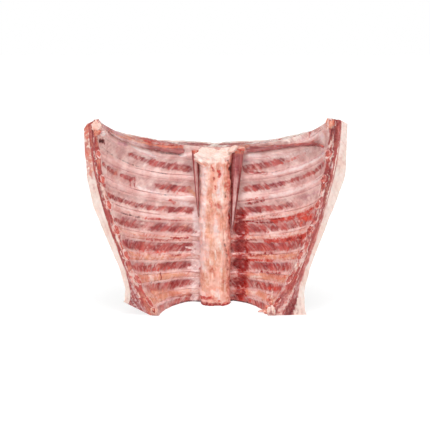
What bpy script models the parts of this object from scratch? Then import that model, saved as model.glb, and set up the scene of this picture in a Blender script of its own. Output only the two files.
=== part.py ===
"""A raw, unsplit rack of lamb: eight pairs of ribs on one length of backbone, standing on its neck-end cut.

The hollow of the chest faces -Y, the back faces +Y and the tail end points up. The origin is on the
floor, under the middle of the whole piece. Lengths are in metres.

Everything follows one chest wall. A point of the wall has three coordinates:
  across  0 at the midline, 1 at the sawn edge of the rib ends
  level   height at the backbone, from the neck-end cut to the tail-end cut
  depth   distance behind the lining of the chest, through flesh and fat
"""

import math

import bmesh
import bpy
from mathutils import Vector

MM = 0.001
LEFT, RIGHT = -1, 1
SIDE_NAMES = {LEFT: "left", RIGHT: "right"}

# The chest wall
LENGTH = 198 * MM  # along the backbone
FOOT_HALF_WIDTH = 68 * MM  # midline to sawn edge, at the floor
FLARE = 0.559  # how fast the chest widens with height
FLARE_EASING = 1.16  # and how that slows, per metre
RIGHT_TURN_IN = 4 * MM  # the right edge stands this much nearer the midline
FOOT_REACH, TOP_REACH = 60 * MM, 74 * MM  # how far the sawn edges stand in front of the backbone
FOOT_SWEEP, TOP_SWEEP = math.radians(86), math.radians(74)  # of the arc, at the floor and at the top
TOP_HEIGHT = 240 * MM
GUTTER_DEPTH, GUTTER_OUT, GUTTER_WIDTH = 7 * MM, 36 * MM, 22 * MM  # the hollow beside the backbone

# Ribs lean tailwards: their sawn ends stand higher than their heads
RIB_PAIRS = 8
RISE = 46 * MM
RISE_CURVE = 1.9
FIRST_LEVEL, LEVEL_STEP, LEVEL_GROWTH = 13 * MM, 21.3 * MM, 0.45 * MM
RIB_HALF_WIDTH, RIB_HALF_THICKNESS = 4.8 * MM, 3.3 * MM
RIB_PROUD = 1.7 * MM  # how far a rib stands out of the lining
LAST_RIB_CURL = 9 * MM  # the last rib turns up to the corner at its sawn end
RIB_ROWS = 8

# Thickness of the wall, lining to outer fat
LOIN_THICKNESS = 49 * MM
LOIN_END, EDGE_START = 0.12, 0.62  # in across: where the loin stops and the thin wall begins
THINNEST_EDGE, WAIST_HEIGHT = 16 * MM, 95 * MM
FOOT_THICKENING = 28 * MM
TOP_THICKENING = {LEFT: 1.5 * MM, RIGHT: 4.5 * MM}
SIDE_THICKENING = {LEFT: 0.5 * MM, RIGHT: 3.5 * MM}
BACK_GROOVE, BACK_GROOVE_WIDTH = 3 * MM, 0.07
FAT = {LEFT: 6 * MM, RIGHT: 8.5 * MM}  # at the sawn edges
LOIN_FAT = 8 * MM

# The two cuts
TAIL_CUT_DROP = 2.5 * MM  # of the corners, below the line that the ribs follow
LOIN_SLOPE, FLAP_SLOPE = -0.02, 0.14  # of the tail-end cut, rising from the lining outwards
CORNER_FALL, FALL_FROM = {LEFT: 0.6, RIGHT: 0.25}, 0.8  # and falling at the corners
CORNER_LIFT, LIFT_FROM, LIFT_START = 0.5, 0.72, 10 * MM  # the left foot is trimmed off on its outside

# Backbone
BONE_HALF_WIDTH, BONE_HALF_DEPTH, BONE_CENTRE = 19.5 * MM, 16 * MM, -4 * MM
BONE_SQUARENESS = 2.5
WAIST = 0.05
BLADE_HALF_WIDTH = 3 * MM
END_SLOPE = 0.44  # the sawn tail end of the backbone leans towards the hollow

GAP = 0.3 * MM
FAT_GAP = 0.6 * MM  # between the flesh and the fat, whose facets turn differently
LOOKS = {  # slot: linear colour, roughness
    "bone": ((0.80, 0.48, 0.40), 0.45),
    "rib_bone": ((0.76, 0.52, 0.48), 0.35),
    "flesh": ((0.56, 0.17, 0.16), 0.35),
    "fat": ((0.90, 0.74, 0.68), 0.40),
    "dark_flesh": ((0.36, 0.08, 0.08), 0.35),
}


def smoothstep(low, high, value):
    t = min(max((value - low) / (high - low), 0.0), 1.0)
    return t * t * (3 - 2 * t)


def mix(first, second, share):
    return first + (second - first) * share


def rib_level(index):
    """Height of a rib's head. Vertebrae grow longer towards the tail."""
    return FIRST_LEVEL + LEVEL_STEP * index + LEVEL_GROWTH * index**2


def height(across, level):
    rise = RISE * math.sin(math.pi / 2 * min(max(level / LENGTH, 0), 1))
    return level + rise * across**RISE_CURVE


def half_width(side, z):
    widening = FLARE * z - FLARE_EASING * z**2
    return FOOT_HALF_WIDTH + widening - (RIGHT_TURN_IN if side == RIGHT else 0)


def edge_thickness(side, z):
    below = max(1 - z / WAIST_HEIGHT, 0)
    above = smoothstep(WAIST_HEIGHT, TOP_HEIGHT, z)
    thickening = FOOT_THICKENING * below**3 + TOP_THICKENING[side] * above
    return THINNEST_EDGE + SIDE_THICKENING[side] + thickening


def thickness(side, across, z):
    """Lining to outer fat: thick over the two loins, with a shallow groove down the back."""
    wall = mix(LOIN_THICKNESS, edge_thickness(side, z), smoothstep(LOIN_END, EDGE_START, across))
    return wall - BACK_GROOVE * math.exp(-((across / BACK_GROOVE_WIDTH) ** 2))


def fat_thickness(side, across):
    return mix(LOIN_FAT, FAT[side], smoothstep(LOIN_END, EDGE_START, across))


def wall_point(side, across, level, depth):
    """A point of the chest wall. The section at each height is part of an ellipse."""
    z = height(across, level)
    sweep = mix(FOOT_SWEEP, TOP_SWEEP, min(z / TOP_HEIGHT, 1))
    reach = mix(FOOT_REACH, TOP_REACH, min(z / TOP_HEIGHT, 1)) / (1 - math.cos(sweep))
    radius = half_width(side, z) / math.sin(sweep)
    angle = across * sweep
    x = radius * math.sin(angle)
    gutter = GUTTER_DEPTH * math.exp(-(((x - GUTTER_OUT) / GUTTER_WIDTH) ** 2))
    run_x = radius * math.cos(angle)
    gutter_slope = -2 * gutter * (x - GUTTER_OUT) / GUTTER_WIDTH**2 * smoothstep(0, 0.12, across)
    run_y = -reach * math.sin(angle) + gutter_slope * run_x
    run = math.hypot(run_x, run_y)
    near_top = min(max(level / LENGTH, 0), 1) ** 8
    near_floor = min(max(1 - level / LENGTH, 0), 1) ** 8
    slope = mix(LOIN_SLOPE, FLAP_SLOPE, smoothstep(LOIN_END, EDGE_START, across))
    slope -= CORNER_FALL[side] * smoothstep(FALL_FROM, 1, across)
    z += near_top * (slope * depth - TAIL_CUT_DROP * across**2)
    if side == LEFT:
        z += near_floor * CORNER_LIFT * smoothstep(LIFT_FROM, 1, across) * max(depth - LIFT_START, 0)
    return Vector(
        (
            side * (x - depth * run_y / run),
            -reach * (1 - math.cos(angle)) + gutter + depth * run_x / run,
            z,
        )
    )


def across_at(side, level, x):
    """The across coordinate of the lining at this distance from the midline."""
    low, high = 0.0, 1.0
    for _ in range(30):
        middle = (low + high) / 2
        inside = abs(wall_point(side, middle, level, 0).x) < x
        low, high = (middle, high) if inside else (low, middle)
    return low


def collection(name):
    made = bpy.data.collections.new(name)
    bpy.context.scene.collection.children.link(made)
    return made


def material(name, colour, roughness):
    made = bpy.data.materials.new(name)
    made.use_nodes = True
    surface = made.node_tree.nodes["Principled BSDF"]
    surface.inputs["Base Color"].default_value = (*colour, 1)
    surface.inputs["Roughness"].default_value = roughness
    surface.inputs["Metallic"].default_value = 0
    return made


def make_object(name, bm, where, slot=None):
    """Turns a bmesh into a named object, smooth except at its cut edges.

    Bent faces are split along their shorter diagonal, so that neighbouring layers split alike.
    """
    bmesh.ops.triangulate(bm, faces=bm.faces, quad_method="SHORT_EDGE")
    bmesh.ops.recalc_face_normals(bm, faces=bm.faces)
    if bm.calc_volume(signed=True) < 0:
        bmesh.ops.reverse_faces(bm, faces=bm.faces)
    mesh = bpy.data.meshes.new(name)
    bm.to_mesh(mesh)
    bm.free()
    mesh.shade_smooth()
    mesh.set_sharp_from_angle(angle=math.radians(40))
    made = bpy.data.objects.new(name, mesh)
    where.objects.link(made)
    if slot:
        mesh.materials.append(MATERIALS[slot])
    else:
        made.hide_render = True
        made.display_type = "WIRE"
    return made


def grid_block(cuts):
    """A unit cube from 0 to 1 each way, with its edges along each axis cut evenly."""
    bm = bmesh.new()
    bmesh.ops.create_cube(bm, size=1)
    bmesh.ops.translate(bm, vec=(0.5, 0.5, 0.5), verts=bm.verts)
    for axis, count in enumerate(cuts):
        if not count:
            continue
        along = [e for e in bm.edges if abs(e.verts[0].co[axis] - e.verts[1].co[axis]) > 0.5]
        bmesh.ops.subdivide_edges(bm, edges=along, cuts=count, use_grid_fill=True)
    return bm


def wall_layer(name, side, layer, cuts, where, slot=None):
    """A block bent to the chest wall. layer(across, z) gives the depths of its two faces."""
    bm = grid_block(cuts)
    for vert in bm.verts:
        across, level = vert.co.x, vert.co.y * LENGTH
        near, far = layer(across, height(across, level))
        vert.co = wall_point(side, across, level, mix(near, far, vert.co.z))
    return make_object(name, bm, where, slot)


def unit_cylinder(around, rows):
    """A closed cylinder of radius 1 from z = 0 to 1, with its height cut into even rows."""
    bm = bmesh.new()
    bmesh.ops.create_cone(bm, cap_ends=True, segments=around, radius1=1, radius2=1, depth=1)
    bmesh.ops.translate(bm, vec=(0, 0, 0.5), verts=bm.verts)
    upright = [e for e in bm.edges if abs(e.verts[0].co.z - e.verts[1].co.z) > 0.5]
    bmesh.ops.subdivide_edges(bm, edges=upright, cuts=rows - 1, use_grid_fill=True)
    return bm


def bar_on_wall(name, side, path, half_width_of, half_depth_of, stations, where, slot=None):
    """A rounded bar along the wall. path(station) gives (across, level, depth) at its middle."""
    rows = len(stations) - 1
    bm = unit_cylinder(8, rows)
    for vert in bm.verts:
        along = stations[round(vert.co.z * rows)]
        across, level, depth = path(along)
        vert.co = wall_point(
            side,
            across,
            level + vert.co.x * half_width_of(along),
            depth + vert.co.y * half_depth_of(along),
        )
    return make_object(name, bm, where, slot)


def rib(name, side, index, spare, where, slot=None):
    """One rib, from the side of the backbone to the sawn edge. spare makes it fatter, as a cutter."""
    level = rib_level(index)
    head = across_at(side, level, BONE_HALF_WIDTH + 3 * GAP)
    stations = [mix(head, 1, row / RIB_ROWS) for row in range(RIB_ROWS + 1)]
    if spare:
        stations = [head - 0.06, *stations, 1.05]
    curl = LAST_RIB_CURL if index == RIB_PAIRS - 1 else 0

    def path(along):
        return along, level + curl * along**6, RIB_HALF_THICKNESS - RIB_PROUD

    def half_width_of(along):
        return RIB_HALF_WIDTH * mix(0.86, 1.06, along) + spare

    def half_depth_of(_):
        return RIB_HALF_THICKNESS + spare

    return bar_on_wall(name, side, path, half_width_of, half_depth_of, stations, where, slot)


def backbone(name, spare, where, slot=None):
    """The bodies of the vertebrae as one waisted column, with the blade behind them."""
    bm = unit_cylinder(20, 20)
    for vert in bm.verts:
        vert.co = backbone_point(vert.co.x, vert.co.y, vert.co.z, spare)
    column = make_object(name, bm, where, slot)
    blade = make_object(name + "_blade", blade_block(spare), CUTTERS)
    join = column.modifiers.new("blade", "BOOLEAN")
    join.operation = "UNION"
    join.object = blade
    return column


def backbone_point(x, y, up, spare):
    """Carries a point of a unit cylinder to the waisted, squarish column."""
    square = (abs(x) ** BONE_SQUARENESS + abs(y) ** BONE_SQUARENESS) ** (-1 / BONE_SQUARENESS)
    z = up * LENGTH
    nearest = min(abs(z - rib_level(index)) for index in range(RIB_PAIRS))
    waisted = 1 if spare else 1 - WAIST * smoothstep(0, LEVEL_STEP / 2, nearest)
    x *= square * (BONE_HALF_WIDTH * waisted + spare)
    y = y * square * (BONE_HALF_DEPTH * waisted + spare) + BONE_CENTRE
    lean = END_SLOPE * min(y - BONE_CENTRE - BONE_HALF_DEPTH / 2, 0)
    z += up**8 * lean
    if spare:
        z = mix(-LENGTH / 10, LENGTH * 1.4, up)
    return Vector((x, y, z))


def blade_block(spare):
    """The spines of the vertebrae, a plate from the column back to the fat."""
    front = BONE_CENTRE + BONE_HALF_DEPTH / 2
    back = thickness(LEFT, 0, 0) - fat_thickness(LEFT, 0) - FAT_GAP
    foot, top = 0.5 * MM, LENGTH - 1.5 * MM
    if spare:
        back, foot, top = back + BONE_HALF_DEPTH / 2, -LENGTH / 20, LENGTH * 1.3
    bm = grid_block((0, 0, 0))
    for vert in bm.verts:
        x = (vert.co.x - 0.5) * 2 * (BLADE_HALF_WIDTH + spare)
        vert.co = (x, mix(front, back, vert.co.y), mix(foot, top, vert.co.z))
    return bm


def flesh(side):
    """One side's muscle, with a groove for each rib and room for the backbone."""

    def layer(across, z):
        return 0, thickness(side, across, z) - fat_thickness(side, across) - FAT_GAP

    made = wall_layer("flesh_" + SIDE_NAMES[side], side, layer, (11, 9, 0), PARTS, "flesh")
    for index in range(RIB_PAIRS):
        groove = made.modifiers.new(f"groove_{index}", "BOOLEAN")
        groove.object = rib(f"groove_{SIDE_NAMES[side]}_{index}", side, index, GAP, CUTTERS)
    room = made.modifiers.new("backbone", "BOOLEAN")
    room.object = bpy.data.objects["backbone_room"]
    return made


def fat_cover():
    """The fat over the whole back, from one sawn edge to the other."""
    bm = grid_block((23, 9, 0))
    for vert in bm.verts:
        side = LEFT if vert.co.x < 0.5 else RIGHT
        across, level = abs(vert.co.x - 0.5) * 2, vert.co.y * LENGTH
        far = thickness(side, across, height(across, level))
        near = far - fat_thickness(side, across)
        vert.co = wall_point(side, across, level, mix(near, far, vert.co.z))
    return make_object("fat_cover", bm, PARTS, "fat")


def loin_strip(side, top_half_width, foot_level):
    """The tapering muscle that runs down beside the backbone from the tail-end cut."""
    top = LENGTH - 3 * MM
    bm = unit_cylinder(8, 8)
    for vert in bm.verts:
        taper = mix(0.14, 1, vert.co.z**0.8)
        half = top_half_width * taper
        x = BONE_HALF_WIDTH + 2 * GAP + half * (1 + vert.co.x)
        y = mix(-7 * MM, -4 * MM, vert.co.z) + vert.co.y * 5 * MM * taper**0.5
        vert.co = (side * x, y, mix(foot_level, top, vert.co.z))
    return make_object("loin_strip_" + SIDE_NAMES[side], bm, PARTS, "dark_flesh")


def diaphragm(side, tip_drop, tip, half_width):
    """The ribbon of muscle left where the diaphragm was cut from the last rib."""
    half_depth = 1.3 * MM
    head = LENGTH - half_width - 1.5 * MM

    def path(along):
        return along, head - tip_drop * along**2, -(RIB_PROUD + half_depth + 2 * GAP)

    def taper(along):
        return half_width * mix(1, 0.5, along)

    start = across_at(side, head, 40 * MM)
    name = "diaphragm_" + SIDE_NAMES[side]
    stations = [mix(start, tip, row / 8) for row in range(9)]
    bar_on_wall(name, side, path, taper, lambda _: half_depth, stations, PARTS, "dark_flesh")


def centre_on_floor():
    """Moves the whole piece so that the origin is under the middle of its box."""
    bpy.context.view_layer.update()
    graph = bpy.context.evaluated_depsgraph_get()
    corners = [
        made.matrix_world @ Vector(corner)
        for made in PARTS.objects
        for corner in made.evaluated_get(graph).bound_box
    ]
    low = [min(corner[axis] for corner in corners) for axis in range(3)]
    high = [max(corner[axis] for corner in corners) for axis in range(3)]
    shift = Vector((-(low[0] + high[0]) / 2, -(low[1] + high[1]) / 2, -low[2]))
    for made in [*PARTS.objects, *CUTTERS.objects]:
        made.location = shift
    print("shift", [round(1000 * x, 2) for x in shift])


for old in list(bpy.data.objects):
    bpy.data.objects.remove(old)
PARTS = collection("rack_of_lamb")
CUTTERS = collection("cutters")
MATERIALS = {name: material(name, *look) for name, look in LOOKS.items()}

backbone("backbone", 0, PARTS, "bone")
backbone("backbone_room", GAP, CUTTERS)
for each_side in (LEFT, RIGHT):
    flesh(each_side)
    for each in range(RIB_PAIRS):
        rib(f"rib_{SIDE_NAMES[each_side]}_{each + 1}", each_side, each, 0, PARTS, "rib_bone")
fat_cover()
loin_strip(LEFT, 4.5 * MM, 112 * MM)
loin_strip(RIGHT, 8 * MM, 98 * MM)
diaphragm(LEFT, 0, 0.86, 4.5 * MM)
diaphragm(RIGHT, 34 * MM, 0.97, 3.5 * MM)
centre_on_floor()
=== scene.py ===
# %% [markdown]
# # A raw rack of lamb, unsplit
#
# A butcher saws this piece from a carcass: eight pairs of ribs that curve away from one length of
# backbone, the meat between and behind them, and the fat over the back. It stands on the cut at its
# neck end, with the hollow of the chest towards the viewer.
#
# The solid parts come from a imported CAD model, which stays the frame for everything here. Each piece
# below takes the place of one solid, keeps its size, and adds what a solid can't show: strands of
# muscle, the pearly lining of the chest, marrow in the sawn bones.

import itertools
import math

import bmesh
import bpy
import numpy as np
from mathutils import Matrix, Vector


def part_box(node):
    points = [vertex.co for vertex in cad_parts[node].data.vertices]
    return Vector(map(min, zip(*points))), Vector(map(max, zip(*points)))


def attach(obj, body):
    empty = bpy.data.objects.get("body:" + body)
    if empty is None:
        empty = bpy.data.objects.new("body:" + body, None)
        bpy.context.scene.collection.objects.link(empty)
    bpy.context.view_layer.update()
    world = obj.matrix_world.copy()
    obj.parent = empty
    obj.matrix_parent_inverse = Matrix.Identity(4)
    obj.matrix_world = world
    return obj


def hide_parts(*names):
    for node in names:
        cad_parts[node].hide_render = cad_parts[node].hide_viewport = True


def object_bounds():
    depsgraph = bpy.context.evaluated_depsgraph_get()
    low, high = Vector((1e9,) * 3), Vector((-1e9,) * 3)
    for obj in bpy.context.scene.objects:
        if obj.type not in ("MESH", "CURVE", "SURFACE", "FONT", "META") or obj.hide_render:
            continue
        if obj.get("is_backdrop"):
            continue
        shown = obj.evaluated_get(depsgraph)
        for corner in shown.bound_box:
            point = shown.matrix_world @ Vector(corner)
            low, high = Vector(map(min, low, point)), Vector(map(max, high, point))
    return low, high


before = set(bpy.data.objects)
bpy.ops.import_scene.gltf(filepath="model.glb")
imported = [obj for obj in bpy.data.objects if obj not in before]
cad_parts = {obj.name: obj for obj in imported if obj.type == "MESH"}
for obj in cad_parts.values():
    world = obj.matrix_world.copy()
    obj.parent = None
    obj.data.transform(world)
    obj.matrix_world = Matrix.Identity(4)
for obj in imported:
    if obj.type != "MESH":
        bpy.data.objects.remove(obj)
CAD_BOX = [list(corner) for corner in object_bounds()]
print("nodes", len(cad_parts), "box mm", [[round(1000 * x, 1) for x in c] for c in CAD_BOX])

# %% [markdown]
# ## One wall, one formula
#
# Meat, ribs and fat all bend with the same chest wall. Bending each piece by hand with a lattice
# would leave gaps between them. Instead one function says where any point of the wall is, from how
# far across it lies (0 at the midline, 1 at the sawn rib ends), its level along the backbone, and
# its depth behind the lining. Every piece starts as a straight, finely cut block whose corners are
# then carried to the wall. It works on whole arrays, because a piece has tens of thousands of corners.

# %% Sizes of the chest wall
MM = 0.001
LEFT, RIGHT = -1, 1
SIDES = {LEFT: "left", RIGHT: "right"}
LENGTH, TOP_HEIGHT = 198 * MM, 240 * MM
RIB_PAIRS = 8
RIB_HALF_WIDTH, RIB_HALF_THICKNESS, RIB_PROUD = 4.8 * MM, 3.3 * MM, 1.7 * MM
LAST_RIB_CURL = 9 * MM
RIB_LEVELS = np.array([13 + 21.3 * i + 0.45 * i**2 for i in range(RIB_PAIRS)]) * MM
BONE_HALF_WIDTH, BONE_HALF_DEPTH, BONE_CENTRE = 19.5 * MM, 16 * MM, -4 * MM
PLATE_BACK = 37.4 * MM

low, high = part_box("backbone")
MIDLINE = Vector(((low.x + high.x) / 2, high.y - PLATE_BACK, 0))  # the wall formula's own origin
print("midline at mm", [round(1000 * x, 2) for x in MIDLINE])


# %% Where a point of the wall is
def smoothstep(low, high, value):
    t = np.clip((value - low) / (high - low), 0, 1)
    return t * t * (3 - 2 * t)


def mix(first, second, share):
    return first + (second - first) * share


def by_side(side, left, right):
    return np.where(np.asarray(side) < 0, left, right)


def height(across, level):
    """Ribs rise towards their sawn ends, the more so near the tail."""
    rise = 46 * MM * np.sin(math.pi / 2 * np.clip(level / LENGTH, 0, 1))
    return level + rise * np.clip(across, 0, 2) ** 1.9


def thickness(side, across, z):
    below, above = np.clip(1 - z / (95 * MM), 0, 1), smoothstep(95 * MM, TOP_HEIGHT, z)
    edge = by_side(side, 16.5, 19.5) + 28 * below**3 + by_side(side, 1.5, 4.5) * above
    wall = mix(49, edge, smoothstep(0.12, 0.62, across)) - 3 * np.exp(-((across / 0.07) ** 2))
    return wall * MM


def fat_thickness(side, across):
    return mix(8, by_side(side, 6, 8.5), smoothstep(0.12, 0.62, across)) * MM


def wall(side, across, level, depth):
    """Carries (across, level, depth) to x, y, z. Across may run a little past 0 and 1."""
    z = height(across, level)
    up = np.clip(z / TOP_HEIGHT, 0, 1)
    sweep = mix(math.radians(86), math.radians(74), up)
    reach = mix(60, 74, up) * MM / (1 - np.cos(sweep))
    half_width = (68 - by_side(side, 0, 4)) * MM + 0.559 * z - 1.16 * z**2
    radius, angle = half_width / np.sin(sweep), across * sweep
    x = radius * np.sin(angle)
    gutter = 7 * MM * np.exp(-(((x - 36 * MM) / (22 * MM)) ** 2))
    run_x = radius * np.cos(angle)
    tilt = -2 * gutter * (x - 36 * MM) / (22 * MM) ** 2 * smoothstep(0, 0.12, across)
    run_y = -reach * np.sin(angle) + tilt * run_x
    run = np.hypot(run_x, run_y)
    near_top = np.clip(level / LENGTH, 0, 1) ** 8
    near_floor = np.clip(1 - level / LENGTH, 0, 1) ** 8
    slope = mix(-0.02, 0.14, smoothstep(0.12, 0.62, across))
    slope = slope - by_side(side, 0.6, 0.25) * smoothstep(0.8, 1, across)
    z = z + near_top * (slope * depth - 2.5 * MM * across**2)
    lift = 0.5 * smoothstep(0.72, 1, across) * np.clip(depth - 10 * MM, 0, None)
    z = z + near_floor * by_side(side, 1, 0) * lift
    corner = smoothstep(12 * MM, 27 * MM, depth) * smoothstep(0.86, 1, across)
    z = z - near_top * by_side(side, 11, 5) * MM * corner
    y = -reach * (1 - np.cos(angle)) + gutter + depth * run_x / run
    points = np.stack([side * (x - depth * run_y / run), y, z], axis=-1)
    return points + np.array(MIDLINE)


def arc_length(side, level):
    """Rough length of the wall from the midline to the sawn edge."""
    steps = np.linspace(0, 1, 24)
    points = wall(side, steps, np.full(24, level), np.zeros(24))
    return float(np.linalg.norm(np.diff(points, axis=0), axis=1).sum())


print("wall length mm", [round(1000 * arc_length(LEFT, z * MM)) for z in (0, 100, 198)])

# %% [markdown]
# ## Straight blocks and soft random numbers
#
# A block is a cube cut finely by `subdivide_edges`, one direction at a time. It is a closed shell
# already, so whatever shape it is bent to stays closed. Meat is never even: `cloud` gives soft
# random values at a chosen size, the same ones on every run, and stretched clouds make strands.


# %% Blocks, clouds and strands
def block(name, cuts):
    """A cube from 0 to 1, cut along x, y and z. Returns the object and its corners' x, y, z."""
    bm = bmesh.new()
    bmesh.ops.create_cube(bm, size=1)
    bmesh.ops.translate(bm, vec=(0.5, 0.5, 0.5), verts=bm.verts)
    for axis, count in enumerate(cuts):
        along = [e for e in bm.edges if abs(e.verts[0].co[axis] - e.verts[1].co[axis]) > 0.5]
        bmesh.ops.subdivide_edges(bm, edges=along, cuts=count, use_grid_fill=True)
    mesh = bpy.data.meshes.new(name)
    bm.to_mesh(mesh)
    bm.free()
    made = bpy.data.objects.new(name, mesh)
    bpy.context.scene.collection.objects.link(made)
    places = np.empty(len(mesh.vertices) * 3)
    mesh.vertices.foreach_get("co", places)
    return made, *places.reshape(-1, 3).T


def cloud(size, seed, *columns):
    """Soft random values from -1 to 1. Size may be one length, or one for each column."""
    sizes = np.broadcast_to(np.asarray(size, float), len(columns))
    scaled = [np.asarray(c, float) / s + 31.7 * seed for c, s in zip(columns, sizes)]
    cells = [np.floor(c).astype(np.int64) for c in scaled]
    blends = [(c - k) ** 2 * (3 - 2 * (c - k)) for c, k in zip(scaled, cells)]
    total = 0
    for corner in itertools.product((0, 1), repeat=len(columns)):
        mixed = np.full_like(cells[0], 9781 * seed + 5)
        weight = 1
        for cell, blend, step, prime in zip(cells, blends, corner, (7919, 104729, 1299709)):
            mixed = (mixed ^ ((cell + step) * prime)) * 2654435761 % 4294967296
            mixed ^= mixed >> 15
            weight = weight * (blend if step else 1 - blend)
        total = total + weight * (mixed % 65536 / 32767.5 - 1)
    return total


def clouds(size, seed, *columns):
    """Clouds with smaller clouds in them."""
    fine = np.asarray(size) / 2.3
    return 0.68 * cloud(size, seed, *columns) + 0.42 * cloud(fine, seed + 1, *columns)


FIBRE_LEAN = math.radians(48)


def along_and_across_fibres(out, level):
    """Strands between the ribs run up towards the backbone. Out is measured from the midline."""
    along = -out * math.cos(FIBRE_LEAN) + level * math.sin(FIBRE_LEAN)
    return along, out * math.sin(FIBRE_LEAN) + level * math.cos(FIBRE_LEAN)


sample = clouds(5.0, 3, np.arange(2000.0), np.arange(2000.0) * 0.7)
print("clouds run from", round(sample.min(), 2), "to", round(sample.max(), 2))

# %% [markdown]
# ## From block to piece
#
# A finished piece has its corners in place, faces that point outwards, smooth shading with crisp cut
# edges, and layers of paint. The paint is a few numbers at every corner, such as how bare the meat is
# or how bloody. The materials read them, so that colour follows the shape it belongs to.


# %% Finish a piece
def settle(made, points, paint, grain, slot, finish, *nodes):
    """Gives a block its final corners, its paint, its grain map and its place in the frame."""
    mesh = made.data
    points = np.clip(points, *CAD_BOX)
    mesh.vertices.foreach_set("co", np.asarray(points, np.float32).ravel())
    bm = bmesh.new()
    bm.from_mesh(mesh)
    if bm.calc_volume(signed=True) < 0:
        bmesh.ops.reverse_faces(bm, faces=bm.faces)
    litres = bm.calc_volume(signed=True) * 1000
    bm.to_mesh(mesh)
    bm.free()
    for name, values in paint.items():
        layer = mesh.attributes.new(name, "FLOAT", "POINT")
        shown = np.broadcast_to(np.clip(values, 0, 1), len(mesh.vertices))
        layer.data.foreach_set("value", shown.astype(np.float32))
    corners = np.empty(len(mesh.loops), np.int32)
    mesh.loops.foreach_get("vertex_index", corners)
    flat = np.stack(np.broadcast_arrays(*grain), axis=-1)[corners]
    mesh.uv_layers.new(name="grain").uv.foreach_set("vector", flat.astype(np.float32).ravel())
    mesh.shade_smooth()
    mesh.set_sharp_from_angle(angle=math.radians(50))
    mesh.materials.append(finish)
    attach(made, "root")
    if nodes:
        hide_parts(*nodes)
    print(f"{made.name}: {2 * len(mesh.polygons)} triangles, {litres:.3f} litres")
    return made


def round_section(p, q):
    """Carries a square section, -1 to 1 each way, to a round one."""
    return p * np.sqrt(1 - q**2 / 2), q * np.sqrt(1 - p**2 / 2)


# %% [markdown]
# ## Moist meat
#
# Raw meat is several stuffs in one surface: red muscle, the thin film over it, fat, and blood. One
# material mixes them by the painted layers, and streaks them with noise stretched along the piece's
# grain map. Some layers are painted light and shade: painted highlights along the ribs, painted shade
# in creases, pits and under the ribs. The gloss is soft and uneven, and the bump faint, because strong
# fine bump looks dry.

# %% Nodes in a few words


def colour(red, green, blue):
    """A colour as seen on a screen, 0 to 255, turned to the linear values that Blender mixes."""
    parts = (np.array([red, green, blue]) / 255).tolist()
    return (*(p / 12.92 if p <= 0.04045 else ((p + 0.055) / 1.055) ** 2.4 for p in parts), 1)


def add(tree, kind, inputs=None, **settings):
    made = tree.nodes.new(kind)
    for name, value in settings.items():
        setattr(made, name, value)
    for name, value in (inputs or {}).items():
        if isinstance(value, bpy.types.NodeSocket):
            tree.links.new(value, made.inputs[name])
        else:
            made.inputs[name].default_value = value
    return made


def blend(tree, share, first, second, how="MIX"):
    """A mix of two colours."""
    inputs = {0: share, 6: first, 7: second}
    return add(tree, "ShaderNodeMix", inputs, data_type="RGBA", blend_type=how).outputs[2]


def between(tree, value, low, high, to_low=0.0, to_high=1.0):
    """Carries a value from one range to another, and holds it there."""
    inputs = {"Value": value, "From Min": low, "From Max": high, "To Min": to_low, "To Max": to_high}
    return add(tree, "ShaderNodeMapRange", inputs, interpolation_type="SMOOTHSTEP").outputs[0]


def arithmetic(tree, operation, first, second):
    return add(tree, "ShaderNodeMath", {0: first, 1: second}, operation=operation).outputs[0]


def painted(tree, name):
    return add(tree, "ShaderNodeAttribute", attribute_name=name).outputs["Fac"]


def blotches(tree, size, detail=3, place=None, stretch=(1, 1, 1), shift=0.0):
    """Noise with blobs of about this size in metres. Stretch makes it finer in a direction."""
    if place is None:
        place = add(tree, "ShaderNodeTexCoord").outputs["Object"]
    inputs = {"Vector": place, "Scale": stretch, "Location": (shift, shift, shift)}
    mapped = add(tree, "ShaderNodeMapping", inputs).outputs[0]
    inputs = {"Vector": mapped, "Scale": 0.5 / size, "Detail": detail, "Roughness": 0.55}
    return add(tree, "ShaderNodeTexNoise", inputs).outputs["Fac"]


# %% The meat material
# paints that any piece may carry: a lighter and a darker colour, laid on in this order
PAINTS = {
    # pale is whitish tissue, and along the ribs a painted highlight
    "pale": (colour(246, 226, 224), colour(232, 200, 196)),
    "warm": (colour(232, 170, 142), colour(202, 122, 98)),
    "fat": (colour(248, 230, 222), colour(240, 208, 194)),
    "scarlet": (colour(222, 84, 66), colour(180, 40, 34)),
}
# and darkening layers, which only darken what is under them: blood is a stain, lilac is the lining's tint and
# also painted shade under the ribs, and dark is painted shade in creases, cracks and pits and along the foot
STAINS_AND_SHADE = {
    "lilac": (0.80, 0.62, 0.74, 1),
    "blood": (0.46, 0.05, 0.05, 1),
    "dark": (0.16, 0.09, 0.11, 1),
}


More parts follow.
